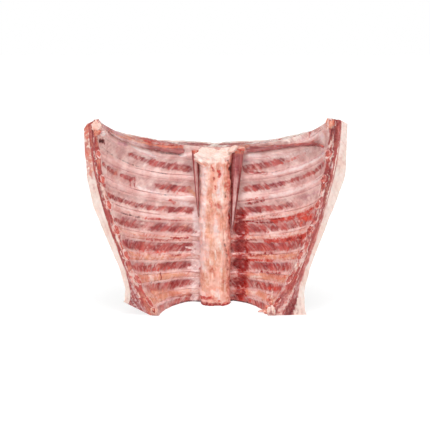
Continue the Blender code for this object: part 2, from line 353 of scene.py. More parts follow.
def meat_finish(name, muscle, film, rib, gloss=0.34, streak=9, bump=0.35, grain_mm=1.0, cover=(0.6, 0.97)):
    """Muscle is light, dark and its palest strands; film and rib are light and dark."""
    made = bpy.data.materials.new(name)
    made.use_nodes = True
    tree = made.node_tree
    surface = tree.nodes["Principled BSDF"]
    grain = add(tree, "ShaderNodeUVMap", uv_map="grain").outputs[0]
    fine = (1 / streak, 1, 1)
    streaks = blotches(tree, grain_mm * MM, 4, grain, fine)
    broad = blotches(tree, 3.3 * grain_mm * MM, 3, grain, fine, 0.3)
    patches = blotches(tree, 8 * MM, 4)
    specks = blotches(tree, 1.5 * MM, 4, shift=0.4)
    softly = between(tree, streaks, 0.3, 0.7, 0, 0.25)
    softly = arithmetic(tree, "ADD", softly, between(tree, patches, 0.3, 0.7, 0, 0.75))

    red = blend(tree, between(tree, broad, 0.32, 0.68), muscle[1], muscle[0])
    red = blend(tree, between(tree, streaks, 0.5, 0.3, 0, 0.6), red, muscle[1])
    red = blend(tree, between(tree, streaks, 0.54, 0.74, 0, 0.75), red, muscle[2])
    over = blend(tree, softly, film[1], film[0])
    thick = arithmetic(tree, "ADD", painted(tree, "veil"), between(tree, patches, 0.3, 0.7, -0.3, 0.3))
    thick = arithmetic(tree, "ADD", thick, between(tree, streaks, 0.3, 0.7, -0.07, 0.07))
    base = blend(tree, between(tree, thick, 0, 1, *cover), red, over)
    base = blend(tree, painted(tree, "rib"), base, blend(tree, softly, rib[1], rib[0]))
    ragged = arithmetic(tree, "ADD", painted(tree, "bare"), between(tree, streaks, 0.2, 0.8, -0.3, 0.3))
    base = blend(tree, between(tree, ragged, 0.1, 0.9), base, red)
    rough = between(tree, specks, 0.25, 0.75, -0.3, 0.3)
    rough = arithmetic(tree, "ADD", rough, between(tree, streaks, 0.25, 0.75, -0.2, 0.2))
    for kind in (*PAINTS, *STAINS_AND_SHADE):
        laid = painted(tree, kind)
        edge = arithmetic(tree, "MULTIPLY", between(tree, laid, 0, 0.35), rough)
        laid = between(tree, arithmetic(tree, "ADD", laid, edge), 0.05, 1)
        if kind in PAINTS:
            base = blend(tree, laid, base, blend(tree, softly, PAINTS[kind][1], PAINTS[kind][0]))
        else:
            base = blend(tree, laid, base, STAINS_AND_SHADE[kind], "MULTIPLY")
    tree.links.new(base, surface.inputs["Base Color"])

    wet = between(tree, blotches(tree, 5 * MM, 2, shift=0.7), 0.35, 0.65, gloss - 0.14, gloss + 0.14)
    tree.links.new(wet, surface.inputs["Roughness"])
    relief = arithmetic(tree, "ADD", streaks, arithmetic(tree, "MULTIPLY", specks, 0.7))
    bumps = {"Height": relief, "Strength": bump, "Distance": 0.6 * MM}
    tree.links.new(add(tree, "ShaderNodeBump", bumps).outputs[0], surface.inputs["Normal"])
    surface.inputs["Specular IOR Level"].default_value = 0.5
    surface.inputs["Coat Weight"].default_value = 0.2
    surface.inputs["Coat Roughness"].default_value = 0.12
    surface.inputs["Subsurface Weight"].default_value = 0.12
    surface.inputs["Subsurface Radius"].default_value = (1, 0.35, 0.25)
    surface.inputs["Subsurface Scale"].default_value = 1.5 * MM
    return made


MUSCLE = (colour(190, 84, 78), colour(138, 38, 40), colour(218, 140, 132))
FILM = (colour(245, 216, 208), colour(218, 174, 168))
RIB = (colour(246, 212, 206), colour(216, 156, 150))
side_meat = meat_finish("side_meat", MUSCLE, FILM, RIB)
print("paints", list(PAINTS), "stains_and_shade", list(STAINS_AND_SHADE))

# %% [markdown]
# ## The two sides of meat
#
# Seen from the hollow, a side of meat is a row of narrow valleys between the ribs. In places the
# lining still covers the muscle like cling film; elsewhere it was pulled away and the strands lie
# bare and a little lower. The sawn edge shows the wall in layers, and the tail-end cut shows the
# loin. Each side is one block with the ribs' grooves pressed in, so it can be told where it is bare
# by rib space, in a short list, from the neck end up. Creases, seams of fat and blood mostly follow a
# rib, so a second list counts from the ribs; it also holds painted shade in the creases and under the
# ribs, and painted highlights along their upper edges. All are laid on like brush strokes with torn edges.

# %% Marks on the lining
# where the lining is torn off the muscle in the space above each rib, from the neck end up:
# stretches in mm outwards from the midline
TORN = {
    LEFT: [
        [(25, 60)], [(25, 80), (80, 120)], [(25, 125)], [(25, 60), (60, 140)],
        [(25, 55), (60, 95), (95, 145)], [(30, 65), (100, 115), (125, 150)],
        [(30, 75), (80, 105)], [(40, 80)],
    ],
    RIGHT: [
        [(55, 100)], [(55, 105)], [(45, 125)], [(35, 55), (65, 105)],
        [(30, 65), (60, 90)], [(35, 65), (50, 100), (105, 145)], [(35, 80)], [(45, 70)],
    ],
}
# marks that follow a rib: kind, strength, half-width in mm, rib, then out from the midline and height
# above the rib's middle, where the mark starts and where it stops
# pale marks here are mostly painted highlights along the ribs, dark marks are painted shade in creases that
# are also pressed in, and lilac marks are painted shade under the ribs
ALONG_RIBS = {
    LEFT: [
        ("lilac", 0.8, 5, 7, 125, 10, 155, 13),
        ("lilac", 0.9, 2.5, 7, 115, 1, 125, 0),
        ("pale", 0.9, 2, 7, 70, -4, 110, 4),
        ("pale", 1, 2.5, 7, 35, 2, 40, 1),
        ("warm", 0.6, 3.5, 7, 80, 14, 115, 14),
        ("scarlet", 0.75, 3, 7, 40, 11, 85, 13),
        ("dark", 0.6, 1, 7, 40, 2, 65, 2),
        ("lilac", 0.5, 2.5, 6, 30, 14, 45, 17),
        ("dark", 0.45, 1, 6, 55, 3, 155, 11),
        ("warm", 0.8, 3, 5, 20, 5, 30, 12),
        ("pale", 0.8, 1.7, 5, 35, 1, 90, 7),
        ("dark", 0.4, 1, 5, 45, 3, 65, 3),
        ("scarlet", 0.4, 3, 5, 30, 7, 45, 5),
        ("pale", 0.8, 3.5, 5, 25, -8, 35, -5),
        ("scarlet", 0.7, 2.5, 5, 45, -6, 50, -3),
        ("pale", 0.75, 1.2, 4, 40, 0, 125, 3),
        ("dark", 0.5, 1.7, 4, 90, -3, 120, -3),
        ("scarlet", 0.7, 1.4, 4, 40, -2, 85, -3),
        ("warm", 0.5, 2, 4, 25, 0, 45, 0),
        ("lilac", 0.6, 2.2, 3, 95, 18, 115, 16),
        ("lilac", 0.5, 2.5, 3, 45, 10, 60, 14),
        ("pale", 0.6, 1.2, 3, 55, 0, 130, -3),
        ("scarlet", 0.6, 1.8, 3, 40, -3, 80, -3),
        ("blood", 0.9, 1.5, 3, 30, 1, 50, 0),
        ("lilac", 0.8, 2.5, 2, 90, 16, 125, 13),
        ("dark", 0.4, 1, 2, 110, 16, 120, 15),
        ("scarlet", 0.5, 1.8, 2, 55, 6, 95, 5),
        ("warm", 0.5, 2.5, 2, 50, 0, 120, -1),
        ("blood", 0.8, 1.2, 2, 40, 2, 50, 2),
        ("bare", 1, 3, 2, 25, 1, 40, 1),
        ("scarlet", 0.4, 1.8, 1, 55, 9, 100, 8),
        ("warm", 0.8, 3, 1, 35, 0, 110, 3),
        ("blood", 1, 1, 1, 70, -3, 68, 6),
        ("dark", 0.35, 2.5, 1, 75, -5, 90, -5),
        ("lilac", 0.5, 2, 0, 30, 15, 70, 14),
        ("warm", 0.7, 3.5, 0, 65, 4, 110, 6),
        ("bare", 1, 3, 0, 30, -5, 60, 1),
        ("lilac", 0.4, 1.4, 0, 35, -9, 65, -4),
    ],
    RIGHT: [
        ("fat", 0.9, 2.5, 7, 85, 14, 110, 11),
        ("pale", 0.8, 4.5, 7, 130, 6, 150, 0),
        ("bare", 0.9, 2.2, 7, 125, 12, 132, -1),
        ("warm", 0.8, 3, 7, 25, 14, 40, 12),
        ("pale", 0.55, 3.5, 7, 40, 0, 135, -12),
        ("lilac", 0.45, 2.4, 7, 35, -6, 65, -10),
        ("scarlet", 0.6, 1.8, 6, 80, 13, 115, 16),
        ("bare", 0.9, 1.4, 6, 35, 8, 60, 3),
        ("dark", 0.5, 1, 6, 55, 3, 90, 5),
        ("lilac", 0.5, 1, 6, 90, 5, 150, 5),
        ("pale", 1, 2, 6, 70, 1, 150, 2),
        ("lilac", 0.4, 2.4, 5, 60, 15, 85, 15),
        ("pale", 1, 2.8, 5, 65, 0, 145, 4),
        ("blood", 0.9, 1.7, 5, 35, -6, 55, -4),
        ("scarlet", 0.6, 1.8, 5, 35, -1, 55, -1),
        ("lilac", 0.6, 1.6, 4, 100, 16, 140, 15),
        ("pale", 1, 1.2, 4, 65, -1, 140, 3),
        ("dark", 0.4, 1, 4, 50, 1, 75, 2),
        ("scarlet", 1, 2.7, 4, 65, -5, 130, -3),
        ("scarlet", 0.9, 3.4, 4, 105, -7, 135, -12),
        ("blood", 0.9, 1.3, 4, 35, -3, 65, -7),
        ("pale", 0.9, 1.1, 3, 75, 1, 130, 0),
        ("blood", 1, 1.8, 3, 89, -4, 94, -4),
        ("blood", 1, 1.6, 3, 107, -5, 115, -5),
        ("scarlet", 1, 2.8, 3, 60, -4, 130, -4),
        ("blood", 0.8, 1.7, 3, 37, -2, 47, -3),
        ("lilac", 0.65, 2, 2, 65, 15, 100, 13),
        ("warm", 1, 2.5, 2, 55, 0, 115, 0),
        ("scarlet", 0.8, 2, 2, 40, -4, 70, -4),
        ("blood", 0.7, 1.8, 2, 40, 2, 70, 5),
        ("lilac", 0.75, 2.2, 1, 60, 13, 100, 15),
        ("blood", 0.8, 1.1, 1, 58, 5, 90, 5),
        ("warm", 0.95, 2.3, 1, 65, 0, 90, 2),
        ("fat", 0.7, 1.8, 1, 45, -2, 60, -1),
        ("scarlet", 0.5, 1.7, 0, 70, 9, 100, 12),
        ("warm", 0.95, 3, 0, 60, 3, 75, 1),
        ("fat", 0.9, 1.6, 0, 83, 7, 88, 3),
        ("warm", 0.8, 1.6, 0, 98, 9, 102, 3),
        ("blood", 0.9, 1.1, 0, 86, 0, 92, -2),
    ],
}


# muscle shows in the middle of a space, higher further out in the two highest spaces
SPACE_MIDDLE, LAST_SPACE_MIDDLE, SPACE_SLANT, SLANT_FROM = 11, 6, 0.045, 4
NEAR_BACKBONE, WIDE, NARROW = 45, (0.95, 3.8), (0.85, 2.6)  # strength and half-width


def strokes_on(side):
    """Rows of kind, strength, half-width, then points as out and level. All in mm."""
    rows = []
    for number, middle in enumerate(RIB_LEVELS / MM):
        last = number == RIB_PAIRS - 1
        lift = LAST_SPACE_MIDDLE if last else SPACE_MIDDLE
        slant = 0 if last else SPACE_SLANT * max(0, number - SLANT_FROM)
        for start, stop in TORN[side][number]:
            first, then = (middle + lift + slant * (out - 25) for out in (start, stop))
            size = WIDE if start < NEAR_BACKBONE else NARROW
            rows.append(("bare", *size, start, first, stop, then))
    for kind, strength, half_width, number, start, above, stop, then in ALONG_RIBS[side]:
        middle = RIB_LEVELS[number] / MM
        rows.append((kind, strength, half_width, start, middle + above, stop, middle + then))
    if side == LEFT:
        # the dark pit in the corner with blood and painted shade in it, two drips, and the white tissue
        # beside the backbone with its tongues
        rows += [("dark", 1, 2.3, 161, 173, 152, 177), ("blood", 1, 3.1, 161, 173, 152, 177)]
        rows += [("bare", 0.85, 0.8, out, 148, out - 1, 137) for out in (96, 102)]
        rows += [("pale", 1, 4, 20, 118, 21, 64), ("pale", 1, 5.4, 21, 64, 26, 3)]
        rows += [("pale", 0.9, 1.7, 31, level, 21, level) for level in (12, 30, 43, 56, 69, 82)]
    else:
        # the hollow beside the backbone, bare and in dark reds
        hollow = (28, 110, 28, 94, 30, 68, 32, 42, 34, 10)
        rows += [("bare", 1, 7, *hollow), ("scarlet", 0.8, 8, *hollow), ("blood", 0.9, 6.5, *hollow)]
        rows += [("blood", 1, 4, 26, middle + 10, 27, middle) for middle in (43, 68, 90)]
    return rows


STROKES = {side: strokes_on(side) for side in SIDES}


def on_wall(side, across, level):
    """Length along the wall from the midline, the measure that the strokes use."""
    return across * mix(ARCS[side][0], ARCS[side][1], level / LENGTH)


def brush(strokes, out, level, fringe):
    """Paints strokes with torn, wandering edges. Gives one layer of paint for each kind."""
    sway = 1.5 * clouds(9 * MM, 501, out, level) + 0.7 * cloud(2.6 * MM, 503, out, level)
    swing = 1.1 * clouds(11 * MM, 505, out, level) + 0.6 * cloud(2.4 * MM, 507, out, level)
    patchy = 0.8 + 0.4 * clouds(3 * MM, 509, out, level)
    layers = {kind: np.zeros_like(out) for kind in ("bare", *PAINTS, *STAINS_AND_SHADE)}
    for kind, strength, half_width, *path in strokes:
        points = np.array(path, float).reshape(-1, 2) * MM
        calm = min(1, 0.35 + half_width / 4)
        x, y = out + calm * sway * MM, level + calm * swing * MM
        nearest = np.full_like(out, 1.0)
        for start, stop in zip(points, points[1:] if len(points) > 1 else points):
            run = stop - start
            share = ((x - start[0]) * run[0] + (y - start[1]) * run[1]) / max(run @ run, 1e-12)
            share = np.clip(share, 0, 1)
            far = np.hypot(x - start[0] - share * run[0], y - start[1] - share * run[1])
            nearest = np.minimum(nearest, far)
        torn = (0.7 + 1.1 * fringe if kind == "bare" else 0.35 * fringe) * MM * min(1, half_width / 1.5)
        spread = smoothstep(1.5, 0.45, nearest / np.maximum(half_width * MM + torn, 0.2 * MM))
        layers[kind] = np.maximum(layers[kind], strength * spread * np.clip(patchy, 0, 1))
    return layers


def rib_half_width(across):
    return RIB_HALF_WIDTH * mix(0.86, 1.06, across)


def from_nearest_rib(across, level):
    """Distance from the middle of the nearest rib."""
    curls = np.zeros(RIB_PAIRS)
    curls[-1] = LAST_RIB_CURL
    middles = RIB_LEVELS + curls * np.clip(across, 0, 1)[:, None] ** 6
    return np.abs(level[:, None] - middles).min(axis=1)


ARCS = {side: (arc_length(side, 0), arc_length(side, LENGTH)) for side in SIDES}
print("strokes", {SIDES[side]: len(rows) for side, rows in STROKES.items()})


# %% Shape and paint one side
def sawn_layers(side, layer, level, mottle, long_mottle, fine):
    """Paint for the sawn edge, by depth in mm under the lining and by level."""
    foot = np.clip(1 - level / (65 * MM), 0, 1)
    sway = clouds(8 * MM, 47 + side, level)
    blobs = clouds((3.5, 9), 49 + side, layer, level / MM)
    gaps = smoothstep(-0.35, 0.35, clouds((6, 13), 53 + side, layer, level / MM))
    start = 7.2 + by_side(side, 6, 12) * foot + 1.3 * sway + 0.9 * long_mottle + 0.5 * fine
    width = by_side(side, 3.6, 4.2) + by_side(side, 24, 7) * foot**1.5
    stop = start + width + 0.9 * long_mottle - 0.7 * sway
    strip = smoothstep(start - 0.6, start + 0.6, layer) * smoothstep(stop + 0.9, stop - 0.9, layer)
    inner_seam = smoothstep(1.9, 0.5, layer + 0.9 * mottle) * (0.25 + 0.75 * gaps)
    seam = np.exp(-(((layer - start + 0.9) / 1.0) ** 2)) * (1 - 0.8 * gaps) * (0.8 + 0.5 * mottle)
    between = smoothstep(0.6, 1.6, layer) * smoothstep(start - 0.6, start - 2, layer)
    near_tail = smoothstep(150 * MM, 178 * MM, level)
    cream = np.maximum(inner_seam, seam) + between * smoothstep(0.05, 0.45, blobs + 0.3 * foot) * 0.85
    cream = cream + smoothstep(stop - 0.4, stop + 1.0, layer) * (1 - 0.8 * near_tail)
    dark = strip * by_side(side, 0.05 + 0.2 * (blobs > 0), 0.05 + 0.6 * near_tail + 0.5 * foot)
    clots = between * smoothstep(0.1, 0.5, -blobs)
    middle = start + (0.4 + 0.1 * sway) * (stop - start)
    cream = cream + 0.9 * strip * foot * np.exp(-(((layer - middle) / 1.1) ** 2)) * by_side(side, 1, 0.6)
    pale_foot = 0.5 * smoothstep(0.1, 0.6, blobs) + by_side(side, 0.3, 0) * foot
    peach = by_side(side, 0.75, 0.5) * smoothstep(-0.3, 0.5, mottle) * between
    return {
        "fat": cream * 0.85,
        "blood": dark + by_side(side, 0.35, 0.55 + 0.3 * near_tail) * clots,
        "scarlet": between
        * (0.25 + 0.45 * smoothstep(-0.1, 0.6, fine))
        * (1 - by_side(side, 0.1, 0.7) * near_tail),
        "lilac": strip * by_side(side, 0.3, 0) * foot,
        "warm": peach + 0.35 * strip * (1 - foot) * (mottle > 0),
        "pale": strip * pale_foot + by_side(side, 0.2, 0.4) * between * (1 - near_tail) * gaps,
    }


def side_of_meat(side):
    made, u, v, w = block(SIDES[side] + "_side_of_meat", (160, 219, 13))
    across, level = u, v * LENGTH
    out = on_wall(side, across, level)
    lining = w < 1e-6
    sawn, tail_cut, neck_cut = u > 1 - 1e-6, v > 1 - 1e-6, v < 1e-6
    far = thickness(side, across, height(across, level)) - fat_thickness(side, across) - 0.1 * MM

    along, over = along_and_across_fibres(out, level)
    fringe = clouds((11 * MM, 1.7 * MM), 11 + side, along, over)
    coarse = cloud((24 * MM, 4.2 * MM), 21 + side, along, over)
    wander = clouds(7 * MM, 31 + side, out, level)
    fine = clouds(2.6 * MM, 71 + side, out, level)
    layers = brush(STROKES[side], out, level, fringe)
    edge = from_nearest_rib(across, level) - rib_half_width(across) * 0.9
    low_or_right = np.maximum(smoothstep(150 * MM, 70 * MM, level), by_side(side, 0.0, 0.35))
    thin = smoothstep(0.5 * MM, 3.5 * MM, edge) * smoothstep(0.99, 0.88, across) * low_or_right
    bare = np.maximum(layers["bare"], thin * (0.62 + 0.35 * wander + 0.3 * fringe))
    layers["bare"] = bare
    groove = smoothstep(-0.4 * MM, -1.4 * MM, edge)
    fillet = np.exp(-((edge / (2.1 * MM)) ** 2)) * (1 - groove)
    beside = by_side(side, 1, 0) * smoothstep(30 * MM, 22 * MM, out) * smoothstep(118 * MM, 95 * MM, level)
    holes = by_side(side, 0, 1) * smoothstep(38 * MM, 24 * MM, out) * smoothstep(128 * MM, 100 * MM, level)

    relief = 0.1 + bare * (0.6 + 0.34 * fringe + 0.3 * coarse) + 0.35 * wander + 0.12 * fine
    relief = relief + (1 - bare) * 0.16 * fringe - 1.15 * fillet * (1 - 0.7 * bare)
    relief = relief - beside * (2.2 + 1.6 * clouds(6 * MM, 91, out, level)) * (1 - groove)
    relief = relief + holes * (0.8 + 2.0 * clouds((5 * MM, 7 * MM), 93, out, level))
    relief = relief + 0.9 * layers["dark"] + 0.3 * layers["blood"] - 0.25 * layers["pale"]
    near = relief * MM + groove * 3.2 * MM
    depth = mix(near, far, w)
    layer = w * far / MM

    mottle = clouds((3.2 * MM, 3.2 * MM, 5 * MM), 41 + side, layer * MM, out, level)
    long_mottle = clouds((26 * MM, 6 * MM), 43 + side, level, depth)
    cut = sawn * (0.45 * clouds(3.5 * MM, 51 + side, level, depth) - 0.2 * (layer > 7)) * MM
    bulge = (tail_cut & (w > 0.02)) * 0.7 * clouds(8 * MM, 61 + side, out, depth) * MM
    points = wall(side, across + cut / ARCS[side][1], level + bulge, depth)

    # the lining, then the sawn edge, the two cuts and the hidden back
    head = smoothstep(0.16, 0.11, across + 0.03 * wander)
    paint = {kind: lining * values for kind, values in layers.items()}
    paint["veil"] = 0.5 + 0.5 * wander + 0.25 * fine
    paint["rib"] = lining * smoothstep(2.4 * MM, 0.4 * MM, edge + 0.8 * wander * MM) * (1 - bare)
    paint["pale"] = paint["pale"] + lining * 0.5 * head * (side < 0)
    for kind, share, size, seed in (("lilac", 0.4, 15, 81), ("warm", 0.25, 13, 83)):
        patches = smoothstep(0.1, 0.7, clouds(size * MM, seed + side, out, level))
        paint[kind] = paint[kind] + lining * share * patches
    low_right = by_side(side, 0.12, 0.34) * smoothstep(140 * MM, 90 * MM, level) * lining
    paint["blood"] = paint["blood"] + low_right * smoothstep(0.5, -0.4, wander + across)
    paint["scarlet"] = paint["scarlet"] + low_right * (0.5 + smoothstep(0.2, 0.8, -fine))
    # painted shadow: the lining darker along its foot, where it meets the floor
    rim = lining * smoothstep(2.6 * MM, 0.6 * MM, level) * smoothstep(0.72, 0.45, across)
    paint["dark"] = paint["dark"] + 0.8 * rim
    on_edge = sawn & ~lining
    on_cut = (tail_cut | neck_cut) & ~lining & ~sawn
    edge_paint = sawn_layers(side, layer, level, mottle, long_mottle, clouds(2.2 * MM, 45, level, depth))

    x, y = np.abs(points[:, 0] - MIDLINE.x), points[:, 1] - MIDLINE.y
    eye = np.hypot((x - 27 * MM) / (21 * MM), (y - 25 * MM) / (13.5 * MM)) + 0.08 * mottle
    outer_eye = np.hypot((x - 60 * MM) / (13 * MM), (y - 13 * MM) / (7 * MM)) + 0.08 * mottle
    inner_eye = np.hypot((x - 12 * MM) / (8 * MM), (y - 27 * MM) / (10 * MM)) + 0.08 * mottle
    in_muscle = np.maximum.reduce([smoothstep(1.02, 0.93, e) for e in (eye, outer_eye, inner_eye)])
    seam = np.exp(-(((layer - 7.3 - 0.7 * mottle) / 0.9) ** 2))
    rib_layer = smoothstep(0.9, 1.6, layer) * smoothstep(7.5, 6.5, layer + mottle)
    cut_meat = np.maximum(in_muscle, np.maximum(rib_layer, smoothstep(0.42, 0.5, across) * (1 - seam)))
    marbled = cut_meat * (1 - 0.35 * smoothstep(0.3, 0.9, mottle))
    # the flap at the tail end shows peach fat on the left, pale fat and a few red parts on the right
    flap = smoothstep(0.3, 0.4, across + 0.05 * mottle)
    red_parts = smoothstep(0.1, 0.5, clouds((14 * MM, 6 * MM), 97, out, depth))
    flap_red = by_side(side, smoothstep(0.62, 0.5, across), red_parts)
    cut_fat = mix(1 - marbled, 0.9 - 0.75 * flap_red, flap * tail_cut)
    cut_paint = {
        "fat": cut_fat,
        "warm": tail_cut * by_side(side, 0.6 * smoothstep(0.35, 0.6, across), 0.25),
        "scarlet": tail_cut * (0.15 + 0.55 * flap * flap_red),
        "lilac": tail_cut * by_side(side, 0.6 * smoothstep(0.8, 0.9, across), 0),
    }
    for kind in {*paint, *edge_paint, *cut_paint} - {"veil", "rib"}:
        shown = np.where(on_edge, edge_paint.get(kind, 0), np.where(on_cut, cut_paint.get(kind, 0), 0))
        paint[kind] = np.where(on_edge | on_cut, shown, paint.get(kind, 0))
    paint["bare"] = np.where(lining, paint["bare"], 1)
    grain = (np.where(lining, along, level), np.where(lining, over, depth + 0.3 * out))
    return settle(made, points, paint, grain, "flesh", side_meat, "flesh_" + SIDES[side])


for side in SIDES:
    side_of_meat(side)

# %% [markdown]
# ## Ribs
#
# A lamb's rib is a flat, slightly wavy bar under a tight skin, so it looks like pale satin rather
# than bare bone. At the saw cut the skin, the hard wall of the bone and the red marrow show as
# rings. A block with its section rounded gives the bar and a gridded end to paint those rings on.
# Its upper side is painted paler as a highlight, and its lower side lilac as shade.

# %% Rib material
MARROW = (colour(226, 122, 106), colour(178, 62, 56), colour(244, 186, 168))
rib_skin = meat_finish(
    "rib_skin", MARROW, RIB, RIB, gloss=0.3, streak=14, bump=0.2, grain_mm=1.2, cover=(0.7, 0.97)
)


# %% Sixteen ribs
def across_at(side, level, x):
    """The across value where the lining is this far from the midline."""
    tries = np.linspace(0, 0.6, 600)
    places = wall(side, tries, np.full(600, level), np.zeros(600))
    return float(tries[np.argmin(np.abs(np.abs(places[:, 0] - MIDLINE.x) - x))])


def lay(paint, kind, amount):
    """Lays paint where there is less of it than this."""
    paint[kind] = np.maximum(paint[kind], amount)


def rib(side, number):
    made, u, p, q = block(f"{SIDES[side]}_rib_{number + 1}", (120, 11, 9))
    p, q = round_section(2 * p - 1, 2 * q - 1)
    middle = RIB_LEVELS[number]
    head = across_at(side, middle, BONE_HALF_WIDTH - 1 * MM)
    across = mix(head, 1, u)
    along = across * ARCS[side][1]
    seed = 100 + 20 * number + side
    swell = 1 + 0.08 * cloud(26 * MM, seed, along) + 0.16 * smoothstep(0.3, 0.12, across)
    wave = 0.9 * MM * cloud(38 * MM, seed + 3, along) * smoothstep(1, 0.8, across)
    curl = (LAST_RIB_CURL if number == RIB_PAIRS - 1 else 0) * across**6
    level = middle + curl + wave + p * rib_half_width(across) * swell
    out = on_wall(side, across, level)
    wander = clouds(7 * MM, 31 + side, out, level)
    lean, over = along_and_across_fibres(out, level)
    fringe = clouds((11 * MM, 1.7 * MM), 11 + side, lean, over)
    layers = brush(STROKES[side], out, level, fringe)
    dimples = 0.25 * clouds((9 * MM, 3 * MM), seed + 5, out, p * 5 * MM) + 0.5 * layers["dark"]
    rim = np.hypot(p, q)
    end = (u > 1 - 1e-6) * (0.45 - 0.7 * smoothstep(0.8, 0.5, rim)) * MM
    depth = RIB_HALF_THICKNESS - RIB_PROUD + q * RIB_HALF_THICKNESS * swell + dimples * (q < 0) * MM
    points = wall(side, across + end / ARCS[side][1], level, depth)
    sawn = u > 1 - 1e-6
    mottle = clouds(2.2 * MM, seed + 7, p * 5 * MM, q * 3.3 * MM, out)
    marrow = sawn * smoothstep(0.98, 0.74, rim + 0.42 * mottle)
    tan = smoothstep(3.5, 1.5, number) * smoothstep(0.25, 0.5, across + 0.1 * wander)
    tan = tan * smoothstep(-1.0, 0.1, clouds(9 * MM, seed + 9, out, level))
    paint = {kind: values * ~sawn for kind, values in layers.items()}
    paint["veil"] = 0.6 + 0.3 * wander
    paint["rib"] = ~sawn * 0.8
    paint["bare"] = np.where(sawn, marrow, 0.75 * paint["bare"])
    ring = (1 - marrow) * (0.4 + 0.7 * mottle)
    paint["fat"] = np.where(sawn, 0.45 * ring, paint["fat"])
    paint["rib"] = np.where(sawn, ring, paint["rib"])
    paint["scarlet"] = np.where(sawn, 0.35 * marrow * (mottle < 0.1), paint["scarlet"])
    clot = marrow * by_side(side, 0.35, 0.6) * smoothstep(-0.6, 0.4, -mottle)
    paint["blood"] = np.where(sawn, clot, paint["blood"])
    lay(paint, "warm", ~sawn * (0.8 * tan + 0.15) * smoothstep(-0.9, 0.3, wander + 0.5 * fringe))
    low_rib = smoothstep(5.5, 2.5, number) * ~sawn
    stained = smoothstep(5.2, 2.8, number + by_side(side, 0, -0.8)) * ~sawn
    bloody = smoothstep(-0.5, 0.6, clouds((14 * MM, 3 * MM), seed + 13, out, level))
    lay(paint, "scarlet", by_side(side, 0.2, 0.42) * stained * bloody)
    lay(paint, "warm", 0.4 * stained)
    lay(paint, "bare", 0.75 * low_rib * smoothstep(-0.2, 0.7, fringe - 0.4 * wander))
    under = smoothstep(0.15, 0.9, -p + 0.2 * wander) * ~sawn
    creamy = smoothstep(0.1, 0.6, clouds((14 * MM, 4 * MM), seed + 11, out, level))
    creamy = creamy * smoothstep(4.5, 2.5, number)
    lay(paint, "fat", by_side(side, 0.55, 0.4) * creamy * ~sawn * smoothstep(0.2, 0.4, across))
    # painted shade: lilac over the lower side of each rib
    lay(paint, "lilac", 0.35 * under * (1 - tan))
    # painted highlight: pale over the upper side of each rib
    lay(paint, "pale", 0.35 * smoothstep(0.1, 0.6, p) * smoothstep(1, 0.7, p) * (1 - tan) * ~sawn)
    node = f"rib_{SIDES[side]}_{number + 1}"
    return settle(made, points, paint, (out, p * 5 * MM + q * 2 * MM), "rib_bone", rib_skin, node)


for side, number in itertools.product(SIDES, range(RIB_PAIRS)):
    rib(side, number)

# %% [markdown]
# ## Backbone
#
# The bodies of eight vertebrae, joined by discs, under a band of ligament. Knife and saw have left
# long upright strands and small lumps of fat, red where vessels were cut. The column is a block with
# its section rounded to a soft square and pulled in a little between the rib heads; behind it a
# plate stands for the spines, which only show in the two cuts.

# %% Backbone material
BONE_RED = (colour(238, 156, 130), colour(208, 104, 84), colour(250, 206, 184))
LIGAMENT = (colour(252, 218, 204), colour(238, 176, 156))
bone_finish = meat_finish(
    "bone_and_ligament", BONE_RED, LIGAMENT, LIGAMENT, gloss=0.38, streak=7, grain_mm=1.3, cover=(0.45, 0.98)
)


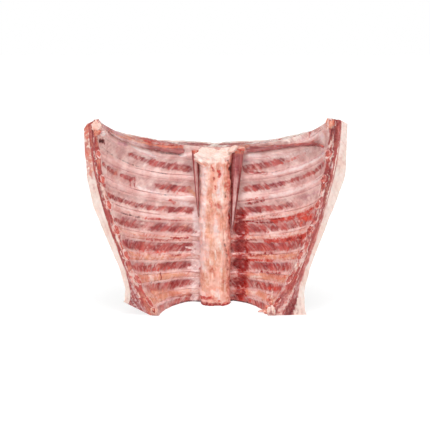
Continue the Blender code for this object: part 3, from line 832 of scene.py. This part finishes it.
# %% Marks on the column
# kind, strength, half-width, out from the midline and level where the mark starts, and where it
# stops, all in mm: ligament, fat and tags of muscle, all upright, and red where vessels were cut
COLUMN_STROKES = [
    ("fat", 0.95, 5.5, -26, 194, 10, 194),
    ("fat", 0.8, 4, 13, 200, 20, 202),
    ("scarlet", 0.7, 1.7, -33, 201, -18, 205),
    ("pale", 0.9, 3.6, -13, 180, -14, 115),
    ("pale", 0.9, 3.8, -15, 105, -20, 18),
    ("pale", 0.9, 2, 4, 162, 5, 134),
    ("pale", 0.7, 1.9, 8, 180, 8, 163),
    ("pale", 0.9, 2.4, 1, 110, 1, 93),
    ("pale", 0.8, 2.4, 4, 20, 4, 10),
    ("fat", 0.6, 2.4, 2, 90, 12, 64),
    ("fat", 0.7, 2.6, -3, 18, 3, 13),
    ("warm", 0.9, 2, -11, 184, -17, 187),
    ("warm", 0.6, 2, -4, 180, -4, 110),
    ("warm", 0.75, 2.9, -7, 150, -9, 90),
    ("warm", 0.8, 1.9, 12, 185, 18, 170),
    ("warm", 0.7, 1.8, 13, 165, 12, 137),
    ("warm", 1, 3.8, 4, 132, 5, 119),
    ("warm", 0.8, 2.4, 7, 120, 9, 108),
    ("warm", 0.6, 2.9, 15, 120, 16, 98),
    ("warm", 0.4, 1.2, -3, 106, -6, 70),
    ("warm", 0.9, 4, -1, 70, 1, 62),
    ("warm", 0.9, 4.8, -7, 55, -4, 49),
    ("warm", 0.7, 4.8, -14, 40, -13, 20),
    ("warm", 0.9, 3.6, 10, 44, 13, 21),
    ("warm", 0.7, 2.4, 13, 14, 14, 9),
    ("warm", 0.6, 2, 23, 87, 21, 57),
    ("scarlet", 0.6, 1.3, -4, 183, -1, 176),
    ("scarlet", 0.8, 2, 4, 175, 5, 169),
    ("scarlet", 0.8, 1.1, 0, 155, 1, 150),
    ("scarlet", 0.5, 1.1, 17, 160, 17, 140),
    ("scarlet", 0.7, 2.4, 2, 130, 6, 127),
    ("scarlet", 0.6, 1.6, -6, 132, -4, 128),
    ("scarlet", 0.5, 1.3, 7, 122, 8, 117),
    ("scarlet", 0.4, 1.9, -5, 52, -4, 45),
    ("scarlet", 0.6, 1.3, 9, 35, 10, 31),
    ("scarlet", 0.85, 1.9, -19, 10, -4, 10),
    ("scarlet", 0.5, 1.4, -1, 6, 8, 6),
    ("blood", 0.7, 1.1, -2, 176, -1, 175),
    ("blood", 0.6, 1.1, 5, 171, 5, 170),
    ("blood", 0.6, 1.2, -2, 165, -1, 163),
    ("blood", 0.7, 1.1, 17, 117, 18, 104),
    # painted shade: the blood line along the foot, where the column meets the floor, and the dark marks in
    # the cracks between strands, which are also pressed in
    ("blood", 1, 1.3, -21, 3, 9, 2),
    ("dark", 0.5, 1, 13, 190, 18, 184),
    ("dark", 0.9, 1.2, 18, 176, 19, 173),
    ("dark", 0.5, 1.1, 12, 145, 12, 139),
    ("dark", 0.5, 1.1, 18, 132, 18, 127),
    ("dark", 0.4, 1.1, 12, 84, 18, 35),
]


# %% The column and its plate
def backbone():
    made, x, y, up = block("backbone_column", (40, 24, 210))
    p, q = 2 * x - 1, 2 * y - 1
    level = up * LENGTH
    p, q = round_section(p, q)
    square = np.maximum(np.hypot(p, q), 1e-6) / np.maximum((np.abs(p) ** 2.5 + np.abs(q) ** 2.5) ** 0.4, 1e-6)
    nearest = np.abs(level[:, None] - RIB_LEVELS).min(axis=1)
    waist = 1 - 0.05 * smoothstep(0, 10.6 * MM, nearest)
    x_mm, y_mm = p * square * BONE_HALF_WIDTH * waist, q * square * BONE_HALF_DEPTH * waist
    front = smoothstep(0.3, -0.3, q)
    skin = np.maximum(np.abs(2 * x - 1), np.abs(2 * y - 1)) > 1 - 1e-6
    strands = clouds((1.7 * MM, 16 * MM), 201, x_mm, level)
    lumps = clouds((5 * MM, 9 * MM), 211, x_mm, level)
    fine = clouds(2.4 * MM, 213, x_mm, level)
    strokes = [(kind, min(1, 1.2 * share), 1.25 * half, *path) for kind, share, half, *path in COLUMN_STROKES]
    layers = brush(strokes, x_mm, level, strands)
    ledge = np.exp(-(((x_mm - 9 * MM - 2 * MM * lumps) / (2 * MM)) ** 2))
    ledge = ledge * smoothstep(110 * MM, 90 * MM, level)
    push = 0.9 * strands + 1.4 * lumps + 0.5 * fine + 1.6 * layers["dark"] - 0.8 * layers["fat"] - 1.5 * ledge
    push = (push - 0.4 * layers["pale"] + 0.35) * MM * front * skin
    sideways = (0.6 * lumps + 1.4 * clouds(7 * MM, 217, y_mm, level)) * MM
    sideways = sideways * smoothstep(0.6, 0.95, np.abs(p)) * skin
    flare = smoothstep(182 * MM, 190 * MM, level + 2.5 * lumps * MM) * np.clip(np.abs(p), 0, 1) ** 2 * front
    sideways = sideways + flare * np.where(p < 0, -8.5 + 2 * fine, 3 + 2 * fine) * MM
    lean = 0.44 * np.minimum(y_mm - BONE_HALF_DEPTH / 2, 0)
    end_lumps = 1.0 * clouds(5 * MM, 221, x_mm, y_mm) * MM * (up > 0.5)
    notch = -2.6 * MM * np.exp(-(((x_mm - 4 * MM) / (3 * MM)) ** 2)) * smoothstep(-6 * MM, 4 * MM, y_mm)
    z = level + up**8 * lean + up**30 * (end_lumps + notch)
    points = np.stack([x_mm + sideways, y_mm + BONE_CENTRE + push, np.maximum(z, 0)], axis=-1)
    points = points + np.array(MIDLINE)

    foot = smoothstep(7 * MM, 1 * MM, level + 2 * lumps * MM)
    end = (up > 1 - 1e-6) | (up < 1e-6)
    left_edge = smoothstep(-6 * MM, -11 * MM, x_mm + 1.5 * lumps * MM)
    right_edge = smoothstep(11 * MM, 16 * MM, x_mm + 3 * lumps * MM)
    orange = clouds((7 * MM, 24 * MM), 225, x_mm, level)
    paint = {kind: np.where(end, 0, values) for kind, values in layers.items()}
    paint["bare"] = np.where(end, 0.3, 0.2 + 0.3 * smoothstep(0, 0.8, strands)) * (1 - left_edge)
    paint["veil"] = 0.6 + 0.4 * lumps
    paint["pale"] = np.maximum(0.8 * paint["pale"], 0.5 * left_edge * ~end)
    middle = (1 - 0.7 * left_edge) * ~end
    lay(paint, "warm", middle * (0.12 + 0.5 * smoothstep(-0.1, 0.6, orange)))
    creamy = clouds((4 * MM, 20 * MM), 227, x_mm, level)
    lay(paint, "fat", 0.6 * middle * smoothstep(0.05, 0.6, creamy))
    paint["scarlet"] = np.maximum.reduce([paint["scarlet"], 0.45 * right_edge * ~end, 0.75 * foot])
    # painted shade: the lowest 3 mm of the column darker, where it meets the floor
    lay(paint, "blood", 0.8 * foot * smoothstep(3 * MM, 1 * MM, level))
    lay(paint, "fat", 0.8 * flare * (p < 0) * ~end)
    lay(paint, "fat", np.where(up > 1 - 1e-6, 0.85 - 0.5 * smoothstep(0.2, 0.8, lumps), 0))
    return settle(made, points, paint, (level, x_mm + y_mm), "bone", bone_finish, "backbone")


def plate():
    made, x, y, up = block("spine_plate", (5, 30, 60))
    x_mm = (2 * x - 1) * 3 * MM
    y_mm = mix(BONE_CENTRE + 6 * MM, PLATE_BACK, y)
    level = mix(0.5 * MM, LENGTH - 1.5 * MM, up)
    cut = np.where(up > 1 - 1e-6, 0.4 * clouds(3 * MM, 231, x_mm, y_mm) * MM, 0)
    points = np.stack([x_mm, y_mm, level + cut], axis=-1) + np.array(MIDLINE)
    mottle = clouds(2.5 * MM, 233, x_mm, y_mm, level)
    rim = smoothstep(1.6 * MM, 2.4 * MM, np.abs(x_mm))
    red_spots = 0.4 * (mottle > 0.2) * (1 - rim)
    paint = {"bare": 0.6 - 0.6 * rim, "veil": 0.8, "fat": 0.8 * rim, "scarlet": red_spots}
    return settle(made, points, paint, (level, y_mm), "bone", bone_finish)


backbone()
plate()

# %% [markdown]
# ## Small dark muscles
#
# Two tapering straps hang beside the backbone from the tail end, and a ribbon of the diaphragm is
# left along each last rib. They are darker than the rest because they never stop working in life.

# %% Dark muscle material
DARK = (colour(184, 96, 94), colour(112, 30, 36), colour(220, 160, 156))
dark_meat = meat_finish("dark_meat", DARK, FILM, RIB, gloss=0.3, streak=12)


# %% Straps and ribbons
def loin_strap(side, top_half_width, foot_mm):
    made, x, y, up = block(SIDES[side] + "_loin_strap", (14, 12, 90))
    p, q = round_section(2 * x - 1, 2 * y - 1)
    level = mix(foot_mm * MM, LENGTH - 3 * MM, up)
    taper = mix(0.14, 1, up**0.8)
    half = top_half_width * taper
    x_mm = BONE_HALF_WIDTH + 0.3 * MM + half * (1 + p)
    ridges = clouds((1.6 * MM, 18 * MM), 301 + side, x_mm, level)
    split = -0.8 * np.exp(-((p / 0.16) ** 2)) * (q < 0) * (side < 0)
    y_mm = mix(-7, -4, up) * MM + q * 5 * MM * taper**0.5 + (0.35 * ridges - split) * MM * (q < 0.3)
    points = np.stack([side * x_mm, y_mm, level], axis=-1) + np.array(MIDLINE)
    cloudy = clouds(7 * MM, 311 + side, x_mm, level)
    middle = smoothstep(0.62, 0.3, np.abs(p + 0.1 * ridges))
    top = smoothstep(0.93, 0.98, up + 0.02 * cloudy)
    paint = {
        "bare": np.where(side < 0, 1 - 0.55 * middle, 0.9 - 0.5 * middle * smoothstep(0.75, 0.6, up)),
        "veil": 0.7 + 0.4 * cloudy,
        "fat": np.where(side < 0, 0.15 * middle * (1 - top) * smoothstep(-0.5, 0.5, cloudy), 0),
        "scarlet": 0.12 + 0.35 * top,
        "warm": 0.8 * top,
        "lilac": np.where(side > 0, 0.55 * smoothstep(0.2, 0.7, cloudy) + 0.3 * middle, 0) * (1 - top),
        "blood": np.where(side > 0, 0.55 * (1 - middle) * smoothstep(0.9, 0.6, up), 0.35 * (1 - middle)),
    }
    name = "loin_strip_" + SIDES[side]
    return settle(made, points, paint, (level, x_mm), "dark_flesh", dark_meat, name)


def ribbon(side, tip_drop, tip, half_width):
    made, u, p, q = block(SIDES[side] + "_ribbon", (110, 9, 5))
    p, q = round_section(2 * p - 1, 2 * q - 1)
    head = LENGTH - half_width - 1.5 * MM
    start = across_at(side, head, 40 * MM)
    across = mix(start, tip, u)
    out = across * arc_length(side, head)
    width = half_width * mix(1, 0.5, u) * (1 + 0.25 * clouds(9 * MM, 321 + side, out))
    ragged = 0.6 * MM * clouds((6 * MM, 2 * MM), 331 + side, out, p * width)
    level = head - tip_drop * across**3.5 + p * width + ragged
    depth = -(RIB_PROUD + 1.6 * MM) + q * 1.4 * MM - 0.5 * ragged
    points = wall(side, across, level, depth)
    cloudy = clouds(8 * MM, 341 + side, out, level)
    inner = smoothstep(0.35, 0.15, u)
    left_red = smoothstep(96 * MM, 78 * MM, out + 8 * cloudy * MM)
    reddest = by_side(side, 0.35 * left_red, 0.3 * (1 - inner))
    paint = {
        "bare": by_side(side, 0.25 + 0.55 * left_red, 0.8),
        "veil": 0.6 + 0.4 * cloudy,
        "scarlet": reddest * smoothstep(-0.5, 0.5, p + 0.5 * cloudy),
        "warm": by_side(side, 0.7, 0.3) * smoothstep(0.1, 0.9, p + 0.4 * cloudy + by_side(side, 0.5, 0) * u),
        "pale": by_side(side, 0.5, 0.2) * smoothstep(0.1, 0.6, cloudy) * (1 - inner),
        "lilac": by_side(side, 0.35 * (1 - left_red), 0.45 * inner * smoothstep(0, 0.6, cloudy)),
        # the ribbon darker towards its lower edge
        "blood": by_side(side, 0.12, 0.3) * smoothstep(0.0, 0.9, -p),
    }
    name = "diaphragm_" + SIDES[side]
    return settle(made, points, paint, (out, level), "dark_flesh", dark_meat, name)


loin_strap(LEFT, 4.5 * MM, 112)
loin_strap(RIGHT, 8 * MM, 98)
ribbon(LEFT, 0, 0.86, 4.5 * MM)
ribbon(RIGHT, 29 * MM, 0.97, 3.5 * MM)

# %% [markdown]
# ## Fat over the back
#
# The outside is firm, pale fat, smooth but never flat: it dips between the ribs and over the spines,
# and thin pink muscle shows through where it is thin. One block runs from sawn edge to sawn edge.

# %% Fat material and cover
PINK = (colour(222, 146, 136), colour(190, 98, 92), colour(238, 190, 180))
OUTER = (colour(238, 224, 216), colour(230, 202, 192))
fat_finish = meat_finish(
    "back_fat", PINK, OUTER, OUTER, gloss=0.4, streak=4, bump=0.25, grain_mm=1.8, cover=(0.6, 1.0)
)


def fat_cover():
    made, u, v, w = block("back_fat", (199, 149, 6))
    side = np.where(u < 0.5, LEFT, RIGHT)
    across, level = np.abs(u - 0.5) * 2, v * LENGTH
    out = side * across * mix(arc_length(LEFT, 0), arc_length(LEFT, LENGTH), v)
    far = thickness(side, across, height(across, level))
    near = far - fat_thickness(side, across)
    nearest = from_nearest_rib(across, level)
    lumps = clouds(24 * MM, 401, out, level)
    small = clouds(7 * MM, 403, out, level)
    over_ribs = 0.5 * smoothstep(9 * MM, 2 * MM, nearest) * smoothstep(0.35, 0.6, across)
    swell = (1.1 * lumps + 0.35 * small + over_ribs) * MM
    middle = by_side(side, 118, 140) * MM
    edge_bulge = by_side(side, 4.5, 5.5) * MM * np.exp(-(((level - middle) / (42 * MM)) ** 2))
    swell = swell + edge_bulge * smoothstep(0.75, 1, across)
    depth = mix(near, far + swell, w)
    sawn, cut = across > 1 - 1e-6, (v > 1 - 1e-6) | (v < 1e-6)
    mottle = clouds(4 * MM, 405, out, level, depth)
    ragged = sawn * 0.4 * mottle * MM / arc_length(LEFT, LENGTH / 2)
    points = wall(side, across + ragged, level + 0.5 * MM * mottle * (v > 1 - 1e-6), depth)
    thin = smoothstep(0.2, 0.8, lumps + 0.3 * small) * smoothstep(0.2, 0.5, across)
    meaty = np.exp(-(((w - 0.4 - 0.15 * small) / 0.12) ** 2)) * (small > -0.2)
    red_corner = sawn * (side < 0) * smoothstep(108 * MM, 160 * MM, level + (10 * small + 16 * mottle) * MM)
    reach = 0.1 + 0.32 * np.exp(-(((level - 55 * MM) / (28 * MM)) ** 2))
    red_edge = sawn * (side > 0) * smoothstep(0.08, -0.08, w - reach + 0.06 * mottle) * (level > 16 * MM)
    on_side = sawn | cut
    side_fat = 0.75 - 0.75 * red_corner * (mottle < 0.25) - 0.3 * meaty - red_edge
    paint = {
        "bare": np.where(on_side, 0.35 * meaty + 0.8 * red_corner + red_edge, 0.45 * thin),
        "veil": 0.6 + 0.5 * lumps + 0.2 * small,
        "fat": np.where(on_side, side_fat, 0.3 + 0.4 * small),
        "blood": 0.35 * red_edge,
        "scarlet": 0.4 * red_corner * (mottle < 0) + 0.15 * meaty * on_side,
        "warm": 0.3 * cut * (v > 0.5) + 0.15 * (mottle > 0.3) + 0.5 * red_corner,
        "pale": 0.5 * sawn * (side > 0) * smoothstep(0.0, 0.6, mottle),
    }
    return settle(made, points, paint, (out, level + depth), "fat", fat_finish, "fat_cover")


fat_cover()

# %% [markdown]
# ## Lumps and tags
#
# The saw and the knife leave loose ends: gristle on the two upper corners, flaps at the head of the
# column, the cut end of a bone at the left foot, a ragged shred at the right one. Each is a small
# ball, pulled long and pushed about by the same soft random numbers, and sunk a little into the piece
# behind it.


# %% Lumps and tags
def lump(name, place, size_mm, seed, finish, slot, turn=0.0, rough=0.35, **paint):
    """A lumpy ball. Size is half its width, depth and height, and turn leans it in the picture."""
    bm = bmesh.new()
    bmesh.ops.create_icosphere(bm, subdivisions=4, radius=1)
    mesh = bpy.data.meshes.new(name)
    bm.to_mesh(mesh)
    bm.free()
    made = bpy.data.objects.new(name, mesh)
    bpy.context.scene.collection.objects.link(made)
    ball = np.empty(len(mesh.vertices) * 3)
    mesh.vertices.foreach_get("co", ball)
    ball = ball.reshape(-1, 3)
    bumps = 0.7 * clouds(0.9, seed, *ball.T) + 0.6 * clouds(0.35, seed + 2, *ball.T)
    x, y, z = (ball * (1 + rough * bumps)[:, None] * np.array(size_mm) * MM).T
    sine, cosine = math.sin(turn), math.cos(turn)
    points = np.stack([x * cosine - z * sine, y, x * sine + z * cosine], axis=-1) + np.asarray(place)
    points[:, 2] = np.maximum(points[:, 2], 0.1 * MM)
    spots = clouds(2.4 * MM, seed + 1, x, y, z)
    painted_spots = {kind: np.clip(share * (1 + 0.9 * spots), 0, 1) for kind, share in paint.items()}
    painted_spots.setdefault("veil", 0.7)
    return settle(made, points, painted_spots, (x + y, z), slot, finish)


def at(side, out_mm, level_mm, depth_mm=0.0):
    across = out_mm * MM / mix(*ARCS[side], level_mm * MM / LENGTH)
    return wall(side, np.array([across]), np.array([level_mm * MM]), np.array([depth_mm * MM]))[0]


LUMPS = [
    # name, side, (out, level, depth), half sizes, turn, paints
    ("corner_knob", LEFT, (169, 191, 3), (5.5, 5.5, 6.5), -0.1, dict(fat=0.5, warm=0.5, scarlet=0.15)),
    ("corner_gristle", LEFT, (167, 183, 2), (4.5, 4, 4.5), 0.3, dict(bare=1, scarlet=0.4, warm=0.8)),
    ("corner_white", LEFT, (158, 184, -0.5), (4, 2.2, 3), 0.3, dict(pale=0.9)),
    ("corner_peak", RIGHT, (165, 193, 3), (5.5, 4.5, 7), 0.1, dict(bare=1, warm=1, scarlet=0.3)),
    ("cap_flap", RIGHT, (19, 196, -14), (7, 6, 3.6), 0.6, dict(fat=0.45, warm=0.5)),
    ("strap_top", RIGHT, (29, 195, -8), (7.5, 6, 2.6), -0.05, dict(warm=0.5, scarlet=0.5)),
    ("foot_bone", LEFT, (104, 5, 2), (4.4, 4, 6), 0.3, dict(fat=0.5, warm=0.3, scarlet=0.3)),
    ("foot_marrow", LEFT, (106.5, 5.5, 2), (2, 3, 3.4), 0.3, dict(bare=1, blood=0.7, scarlet=0.4)),
    ("foot_shred_1", RIGHT, (84, 1, -2), (7, 2.5, 1.8), 0.15, dict(fat=0.5, warm=0.4, scarlet=0.3)),
    ("foot_shred_2", RIGHT, (92, 2, -1), (5, 3, 3), -0.3, dict(warm=0.5, scarlet=0.5)),
    ("foot_shred_3", RIGHT, (98, 4, 0), (4, 3, 5), 0.1, dict(fat=0.8)),
    ("foot_shred_4", RIGHT, (100, 12, 1), (2.5, 2.5, 5), -0.2, dict(fat=0.7, scarlet=0.3)),
    ("foot_shred_6", RIGHT, (104, 6, 2), (2.2, 2.5, 6), 0.35, dict(fat=0.7, warm=0.2)),
    ("foot_shred_7", RIGHT, (88, 5, 0), (3.5, 2.5, 2.5), -0.5, dict(bare=1, scarlet=0.5)),
    ("foot_shred_8", RIGHT, (80, 12, 1), (2.2, 1.6, 4.5), 0.1, dict(fat=0.6, warm=0.5)),
    ("foot_shred_9", RIGHT, (87, 14, 1), (1.8, 1.6, 5), -0.1, dict(fat=0.8)),
    ("foot_shred_5", RIGHT, (93, 10, 0), (2.5, 2, 4), 0.3, dict(scarlet=0.7, warm=0.3)),
]
for seed, (name, side, place, size, turn, paint) in enumerate(LUMPS):
    slot = "fat" if paint.get("fat", 0) > 0.45 else "flesh"
    lump(name, at(side, *place), size, 600 + 7 * seed, bone_finish, slot, turn, **paint)

# %% [markdown]
# ## Floor, light and camera
#
# The piece stands on a white sweep under large soft lamps, so its shadow is only a breath under the
# foot. The floor glows a little for the camera alone, which makes it white without spilling extra
# light onto the meat.

# %% Floor and world
floor_bm = bmesh.new()
bmesh.ops.create_grid(floor_bm, x_segments=1, y_segments=1, size=6)
floor_mesh = bpy.data.meshes.new("floor")
floor_bm.to_mesh(floor_mesh)
floor_bm.free()
floor = bpy.data.objects.new("floor", floor_mesh)
bpy.context.scene.collection.objects.link(floor)
floor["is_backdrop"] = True


def seen_directly(tree):
    """1 for rays that come straight from the camera."""
    return add(tree, "ShaderNodeLightPath").outputs["Is Camera Ray"]


white = bpy.data.materials.new("white_sweep")
white.use_nodes = True
tree = white.node_tree
sweep = tree.nodes["Principled BSDF"]
sweep.inputs["Base Color"].default_value = (0.9, 0.9, 0.9, 1)
sweep.inputs["Roughness"].default_value = 0.9
sweep.inputs["Specular IOR Level"].default_value = 0
glow = add(tree, "ShaderNodeEmission", {"Color": (1, 1, 1, 1), "Strength": 1.15})
place = add(tree, "ShaderNodeTexCoord").outputs["Object"]
from_middle = add(tree, "ShaderNodeVectorMath", {0: place}, operation="LENGTH").outputs["Value"]
share = arithmetic(tree, "MULTIPLY", seen_directly(tree), between(tree, from_middle, 0.08, 0.34, 0.7, 0.99))
mixed = add(tree, "ShaderNodeMixShader", {0: share, 1: sweep.outputs[0], 2: glow.outputs[0]})
tree.links.new(mixed.outputs[0], tree.nodes["Material Output"].inputs["Surface"])
floor_mesh.materials.append(white)

world = bpy.data.worlds.new("soft_white")
bpy.context.scene.world = world
world.use_nodes = True
tree = world.node_tree
sky = tree.nodes["Background"]
sky.inputs["Color"].default_value = (1, 1, 1, 1)
strength = between(tree, seen_directly(tree), 0, 1, 0.33, 1.0)
tree.links.new(strength, sky.inputs["Strength"])


# %% Lamps and camera
def lamp(name, place, aim, width, height, watts):
    light = bpy.data.lights.new(name, "AREA")
    light.shape = "RECTANGLE"
    light.size, light.size_y, light.energy = width, height, watts
    made = bpy.data.objects.new(name, light)
    made.location = place
    made.rotation_euler = (Vector(aim) - Vector(place)).to_track_quat("-Z", "Y").to_euler()
    bpy.context.scene.collection.objects.link(made)


lamp("overhead", (0.05, -0.45, 1.15), (0, -0.02, 0.12), 0.5, 0.5, 8)
lamp("front_left", (-1.0, -1.25, 0.75), (0, 0, 0.12), 0.6, 0.6, 8)
lamp("behind", (0.1, 1.6, 0.12), (0, 0, 0.1), 0.8, 0.2, 2.5)
lamp("front_right", (1.1, -1.2, 0.5), (0, 0, 0.12), 0.6, 0.6, 4.2)

PITCH, DISTANCE, AIM_HEIGHT = math.radians(12), 1.25, 112.7 * MM
FOCAL_IN_FRAMES = 1000 / 430
scene = bpy.context.scene
camera_data = bpy.data.cameras.new("camera")
camera_data.sensor_width = 36
camera_data.lens = 36 * FOCAL_IN_FRAMES
camera = bpy.data.objects.new("camera", camera_data)
scene.collection.objects.link(camera)
aim = Vector((MIDLINE.x, MIDLINE.y, AIM_HEIGHT))
camera.location = aim + DISTANCE * Vector((0, -math.cos(PITCH), math.sin(PITCH)))
camera.rotation_euler = (math.pi / 2 - PITCH, 0, 0)
scene.camera = camera
scene.view_settings.view_transform = "Standard"

# %% [markdown]
# ## Compare the sizes and finish
#
# The change at each end of the box, from the CAD model's to the pieces', is printed.

# %% Write the sizes and finish
visual_box = [list(corner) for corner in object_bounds()]
for axis, letter in enumerate("xyz"):
    change = [round(1000 * (visual_box[k][axis] - CAD_BOX[k][axis]), 2) for k in (0, 1)]
    print(letter, "box ends moved by mm", change)
